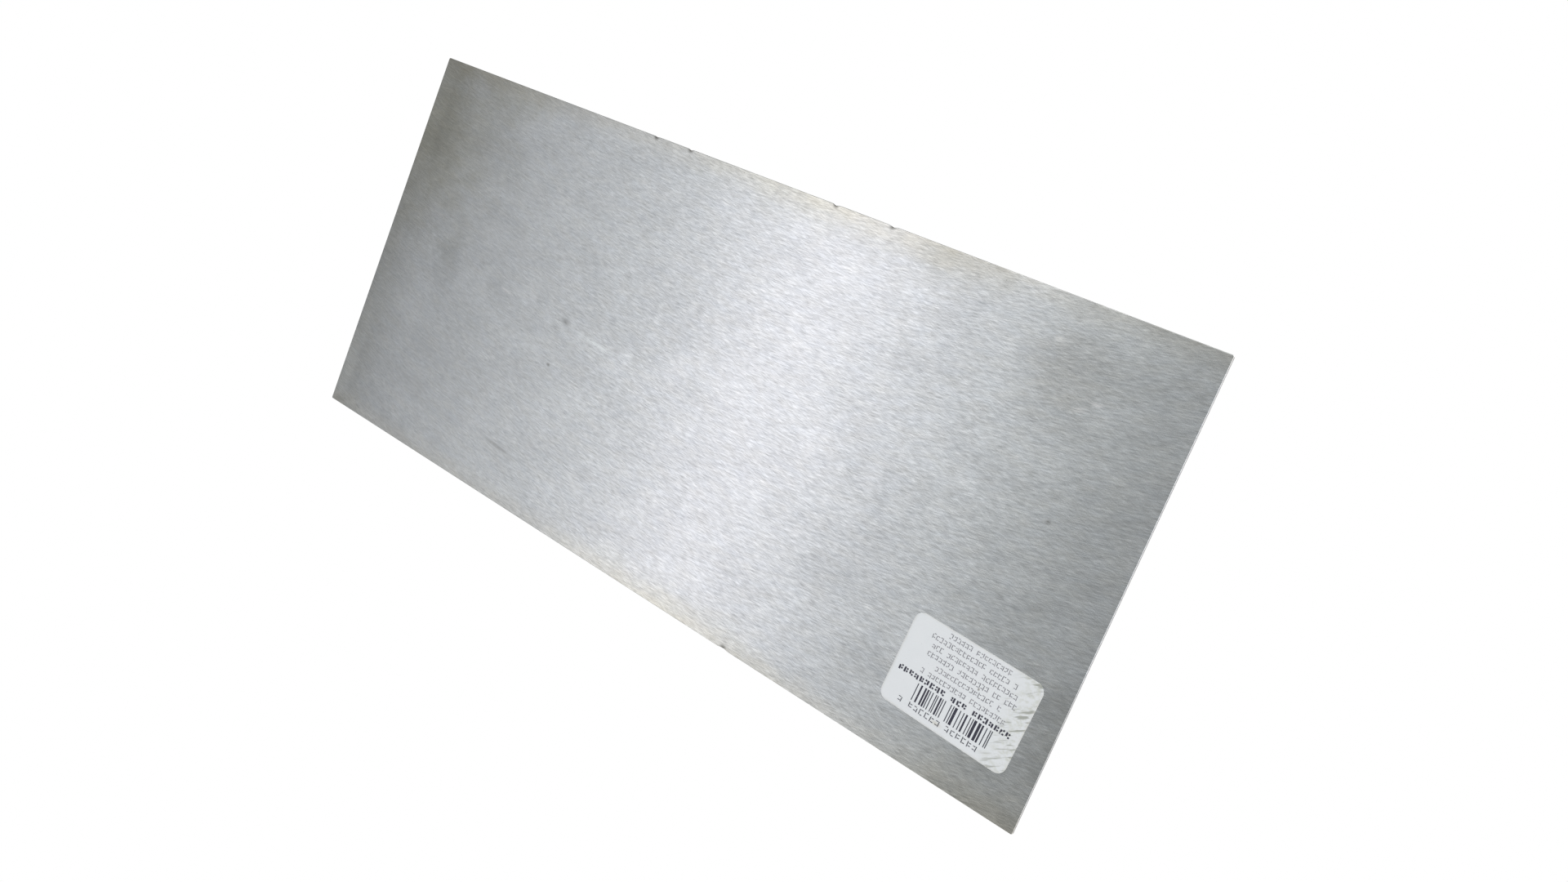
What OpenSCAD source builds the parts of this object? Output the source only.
// Smooth hand float: a flat steel blade, stiffened by a riveted spine bar, with a
// turned wooden grip bolted between two bent strap posts. The working face lies on
// z = 0, the grip is above it, and the length runs along X. All sizes in millimetres.

/* [Blade] */
// Length of the blade
blade_l = 280; // [260:1:320]
// Width of the blade
blade_w = 126; // [115:1:150]
// Thickness of the blade sheet
blade_t = 0.9; // [0.7:0.1:1.5]
// Corner radius of the sheared sheet
blade_corner_r = 0.5; // [0.3:0.1:3]

/* [Label] */
// Length of the paper label
label_l = 38.1; // [30:0.1:45]
// Width of the paper label
label_w = 25.4; // [20:0.1:30]
// Corner radius of the label
label_corner_r = 2.6; // [1:0.1:5]
// Distance of the label's middle from the blade's end
label_inset_x = 26.6; // [24:0.1:40]
// Distance of the label's middle from the blade's long edge
label_inset_y = 24.6; // [17:0.1:30]
// How far the label was stuck on crooked, in degrees
label_tilt = 2.3; // [-5:0.1:5]

/* [Spine bar] */
// Length of the spine bar
spine_l = 244; // [236:1:250]
// Width of the spine bar
spine_w = 26; // [24:1:32]
// Thickness of the spine bar along its middle
spine_t = 3.2; // [2.5:0.1:5]
// Thickness of the spine bar at its bevelled edges
spine_edge_t = 1.4; // [1:0.1:2]

/* [Rivets] */
// Number of rivets along the spine bar
rivet_n = 11; // [11, 13]
// Distance between the first and the last rivet
rivet_span = 216; // [212:1:220]
// Shank diameter of a rivet
rivet_d = 4; // [3:0.1:4.5]
// Head diameter of a rivet
rivet_head_d = 7.6; // [6:0.1:8]
// Head height of a rivet
rivet_head_h = 2; // [1:0.1:2.5]

/* [Posts] */
// Width of the strap that the posts are bent from
strap_w = 20; // [16:1:20]
// Thickness of the strap
strap_t = 3; // [2.5:0.1:4]
// Lean of a post's leg towards the grip, in degrees
leg_lean = 8; // [4:1:10]
// Length of a leg's straight stretch
leg_l = 31; // [26:1:34]

/* [Grip] */
// Length of the wooden grip
grip_l = 139; // [136:1:142]
// Diameter of the grip at its middle
grip_d = 35; // [32:1:38]
// Diameter of the grip beside the ferrules
grip_end_d = 30.4; // [28:0.1:31]
// Height of the grip's axis above the working face
grip_z = 57; // [54:1:62]

/* [Ferrules and bolt] */
// Length of a ferrule
ferrule_l = 13; // [8:1:18]
// Wall thickness of a ferrule
ferrule_t = 1; // [0.6:0.1:1.5]
// Diameter of the handle bolt
bolt_d = 6; // [5:0.5:6]
// Length of the handle bolt under its head
bolt_l = 160; // [156:1:165]

/* [Hidden] */
$fn = 64;
rivet_names = [for (i = [1 : rivet_n]) str("rivet_", i)];

cut = 1;                  // how far a cutting tool stands past the face it cuts
snug = 0.05;              // gap round a piece that is let into another
label_t = 0.1;            // thickness of the label and depth of its seat
label_x = blade_l / 2 - label_inset_x;
label_y = blade_w / 2 - label_inset_y;

spine_top = blade_t + spine_t;
crown_w = strap_w;        // flat part of the spine bar's top, as wide as a foot

rivet_pitch = rivet_span / (rivet_n - 1);
rivet_r = rivet_d / 2;
rivet_foot_r = rivet_r + 1;

lower_bend_r = 4.5;       // bends are measured to the middle of the strap
upper_bend_r = 14;
bend_steps = 12;          // flats that a bend is made of
ferrule_end_x = grip_l / 2 + ferrule_t;
eye_x = ferrule_end_x + strap_t / 2;
foot_x = eye_x + lower_bend_r * cos(leg_lean) + leg_l * sin(leg_lean)
    + upper_bend_r * (1 - cos(leg_lean));
foot_end_x = rivet_span / 2 + strap_w / 2;
lower_bend = [foot_x, spine_top + strap_t / 2 + lower_bend_r];
upper_bend = lower_bend + (upper_bend_r - lower_bend_r) * [cos(leg_lean), sin(leg_lean)]
    + leg_l * [-sin(leg_lean), cos(leg_lean)];

bolt_r = bolt_d / 2;
bolt_head_r = 6;
bolt_head_h = 3.6;
bolt_slot = [1.6, 1.8];   // width and depth of the screwdriver slot
bolt_chamfer = 0.8;
eye_bore_r = bolt_r + 0.2;
grip_bore_r = bolt_r + 0.3;
groove_x = 47;            // a pair of turned grooves, this far from the grip's middle
groove_r = 0.9;

washer_r = 6.25;
washer_t = 1.6;
spring_r = 5.9;
spring_gap = 1.2;
nut_h = 5;
nut_across_flats = 10;
nut_corner_r = nut_across_flats / (2 * cos(30));
post_face_x = eye_x + strap_t / 2;
washer_end_x = post_face_x + washer_t;

steel = [0.67, 0.68, 0.69];
aluminium = [0.78, 0.79, 0.80];
zinc = [0.72, 0.73, 0.72];
beech = [0.76, 0.55, 0.34];
paper = [0.93, 0.93, 0.91];

function rivet_x(i) = (i - (rivet_n + 1) / 2) * rivet_pitch;
function arc(centre, r, from, to) =
    [for (k = [0 : bend_steps]) let (a = from + (to - from) * k / bend_steps) centre + r * [cos(a), sin(a)]];

// Rectangle with round corners, centred on the origin
module rounded_rect(l, w, r) {
    square([l - 2 * r, w], center = true);
    square([l, w - 2 * r], center = true);
    for (sx = [-1, 1], sy = [-1, 1]) {
        translate([sx * (l / 2 - r), sy * (w / 2 - r)]) circle(r);
    }
}

// Round cap of radius r and height h standing on y = 0, as a half outline
module cap_outline(r, h) {
    ball_r = (r * r + h * h) / (2 * h);
    intersection() {
        translate([0, h - ball_r]) circle(ball_r);
        square([r, h]);
    }
}

// Turns a half outline round the X axis, with the outline's y along +X
module turned_along_x() {
    rotate([0, 90, 0]) rotate_extrude() children();
}

// Sheared steel sheet, countersunk from below for every rivet
module blade() {
    color(steel) difference() {
        linear_extrude(blade_t) rounded_rect(blade_l, blade_w, blade_corner_r);
        for (i = [1 : rivet_n]) {
            translate([rivet_x(i), 0, 0]) rotate_extrude() polygon([
                [0, -cut],
                [rivet_foot_r + snug, -cut],
                [rivet_foot_r + snug, 0],
                [rivet_r + snug, blade_t],
                [rivet_r + snug, blade_t + cut],
                [0, blade_t + cut]
            ]);
        }
        label_place(-cut) rounded_rect(label_l + 2 * snug, label_w + 2 * snug, label_corner_r + snug);
    }
}

// Extrudes the label's outline from z = low up to the depth of its seat
module label_place(low) {
    translate([label_x, label_y, low]) rotate(label_tilt) linear_extrude(label_t - low) children();
}

// Paper label, let into the working face by its own thickness
module label() {
    color(paper) label_place(0) rounded_rect(label_l, label_w, label_corner_r);
}

// Stiffening bar on the blade's back, bevelled along both edges and round both ends
module spine_bar() {
    straight = spine_l - spine_w;
    half_w = spine_w / 2;
    half_crown = crown_w / 2;
    color(aluminium) translate([0, 0, blade_t]) difference() {
        union() {
            rotate([90, 0, 90]) linear_extrude(straight, center = true) polygon([
                [-half_w, 0],
                [half_w, 0],
                [half_w, spine_edge_t],
                [half_crown, spine_t],
                [-half_crown, spine_t],
                [-half_w, spine_edge_t]
            ]);
            for (side = [-1, 1]) {
                translate([side * straight / 2, 0, 0]) rotate_extrude() polygon([
                    [0, 0],
                    [half_w, 0],
                    [half_w, spine_edge_t],
                    [half_crown, spine_t],
                    [0, spine_t]
                ]);
            }
        }
        for (i = [1 : rivet_n]) {
            translate([rivet_x(i), 0, -cut]) cylinder(h = spine_t + 2 * cut, r = rivet_r + snug);
        }
    }
}

// Solid rivet: foot ground flush in the blade, round head above. The outer rivets
// are longer, because they also hold a post's foot.
module rivet(i) {
    seat_z = abs(rivet_x(i)) > foot_x ? spine_top + strap_t : spine_top;
    color(zinc) translate([rivet_x(i), 0, 0]) {
        rotate_extrude() {
            polygon([
                [0, 0],
                [rivet_foot_r, 0],
                [rivet_r, blade_t],
                [rivet_r, seat_z],
                [0, seat_z]
            ]);
            translate([0, seat_z]) cap_outline(rivet_head_d / 2, rivet_head_h);
        }
    }
}

// Side view of a post: foot on the spine bar, leaning leg, upright eye
module post_profile() {
    half_t = strap_t / 2;
    eye_top = grip_z + strap_w / 2;
    tilted = 180 + leg_lean;
    polygon(concat(
        [[foot_end_x, spine_top]],
        arc(lower_bend, lower_bend_r + half_t, 270, tilted),
        arc(upper_bend, upper_bend_r + half_t, tilted, 180),
        [[eye_x - half_t, eye_top], [eye_x + half_t, eye_top]],
        arc(upper_bend, upper_bend_r - half_t, 180, tilted),
        arc(lower_bend, lower_bend_r - half_t, tilted, 270),
        [[foot_end_x, spine_top + strap_t]]
    ));
}

// Post bent from flat strap, with a round foot end and a round eye
module post() {
    reach = foot_end_x + cut;
    color(zinc) difference() {
        intersection() {
            rotate([90, 0, 0]) linear_extrude(strap_w, center = true) post_profile();
            linear_extrude(grip_z + strap_w) {
                translate([0, -strap_w / 2]) square([rivet_span / 2, strap_w]);
                translate([rivet_span / 2, 0]) circle(strap_w / 2);
            }
            rotate([90, 0, 90]) linear_extrude(reach) {
                translate([-strap_w / 2, 0]) square([strap_w, grip_z]);
                translate([0, grip_z]) circle(strap_w / 2);
            }
        }
        for (i = [1 : rivet_n]) {
            if (rivet_x(i) > foot_x) {
                translate([rivet_x(i), 0, 0]) cylinder(h = spine_top + strap_t + cut, r = rivet_r + snug);
            }
        }
        translate([0, 0, grip_z]) rotate([0, 90, 0]) cylinder(h = reach, r = eye_bore_r);
    }
}

// Turned barrel grip with a spigot at each end for its ferrule
module grip() {
    spigot_r = grip_end_d / 2 - ferrule_t - snug;
    barrel_half = grip_l / 2 - ferrule_l + ferrule_t;
    swell = (grip_d - grip_end_d) / 2;
    swell_r = (barrel_half * barrel_half + swell * swell) / (2 * swell);
    color(beech) translate([0, 0, grip_z]) difference() {
        turned_along_x() difference() {
            union() {
                intersection() {
                    translate([grip_d / 2 - swell_r, 0]) circle(swell_r, $fn = 360);
                    translate([0, -barrel_half]) square([grip_d / 2, 2 * barrel_half]);
                }
                translate([0, -grip_l / 2]) square([spigot_r, grip_l]);
            }
            for (side = [-1, 1]) {
                groove_at = sqrt(swell_r * swell_r - groove_x * groove_x) + grip_d / 2 - swell_r;
                translate([groove_at + groove_r / 3, side * groove_x]) circle(groove_r);
            }
        }
        rotate([0, 90, 0]) cylinder(h = grip_l + 2 * cut, r = grip_bore_r, center = true);
    }
}

// Pressed metal cup on the grip's +X end
module ferrule() {
    outer_r = grip_end_d / 2;
    color(zinc) translate([ferrule_end_x - ferrule_l, 0, grip_z]) turned_along_x() polygon([
        [outer_r - ferrule_t, 0],
        [outer_r, 0],
        [outer_r, ferrule_l],
        [grip_bore_r, ferrule_l],
        [grip_bore_r, ferrule_l - ferrule_t],
        [outer_r - ferrule_t, ferrule_l - ferrule_t]
    ]);
}

// Long slotted screw that runs through both posts and the grip
module handle_bolt() {
    color(zinc) translate([washer_end_x, 0, grip_z]) difference() {
        turned_along_x() {
            cap_outline(bolt_head_r, bolt_head_h);
            polygon([
                [0, -bolt_l],
                [bolt_r - bolt_chamfer, -bolt_l],
                [bolt_r, bolt_chamfer - bolt_l],
                [bolt_r, 0],
                [0, 0]
            ]);
        }
        translate([bolt_head_h - bolt_slot[1], -bolt_head_r, -bolt_slot[0] / 2])
            cube([bolt_head_h, 2 * bolt_head_r, bolt_slot[0]]);
    }
}

// Flat ring on the grip's axis that starts at x and runs towards +X
module ring(x, r, bore_r, t) {
    translate([x, 0, grip_z]) turned_along_x() polygon([[bore_r, 0], [r, 0], [r, t], [bore_r, t]]);
}

// Plain washer against a post's outer face
module washer() {
    color(zinc) ring(post_face_x, washer_r, eye_bore_r, washer_t);
}

// Split spring washer between the rear washer and the nut, pressed flat
module spring_washer() {
    color(zinc) difference() {
        ring(-washer_end_x - washer_t, spring_r, eye_bore_r, washer_t);
        translate([-washer_end_x - washer_t - cut, -spring_gap / 2, grip_z])
            cube([washer_t + 2 * cut, spring_gap, spring_r + cut]);
    }
}

// Hexagon nut, with its corners chamfered on both faces
module handle_nut() {
    chamfer = nut_corner_r - nut_across_flats / 2;
    color(zinc) translate([-washer_end_x - washer_t - nut_h, 0, grip_z]) difference() {
        intersection() {
            rotate([0, 90, 0]) cylinder(h = nut_h, r = nut_corner_r, $fn = 6);
            turned_along_x() polygon([
                [0, 0],
                [nut_across_flats / 2, 0],
                [nut_corner_r, chamfer],
                [nut_corner_r, nut_h - chamfer],
                [nut_across_flats / 2, nut_h],
                [0, nut_h]
            ]);
        }
        translate([-cut, 0, 0]) rotate([0, 90, 0]) cylinder(h = nut_h + 2 * cut, r = bolt_r + snug);
    }
}

blade();
label();
spine_bar();
for (i = [1 : rivet_n]) {
    rivet(i);
}
post();  // front_post
mirror([1, 0, 0]) post();  // rear_post
grip();
ferrule();  // front_ferrule
mirror([1, 0, 0]) ferrule();  // rear_ferrule
handle_bolt();
washer();  // front_washer
mirror([1, 0, 0]) washer();  // rear_washer
spring_washer();
handle_nut();
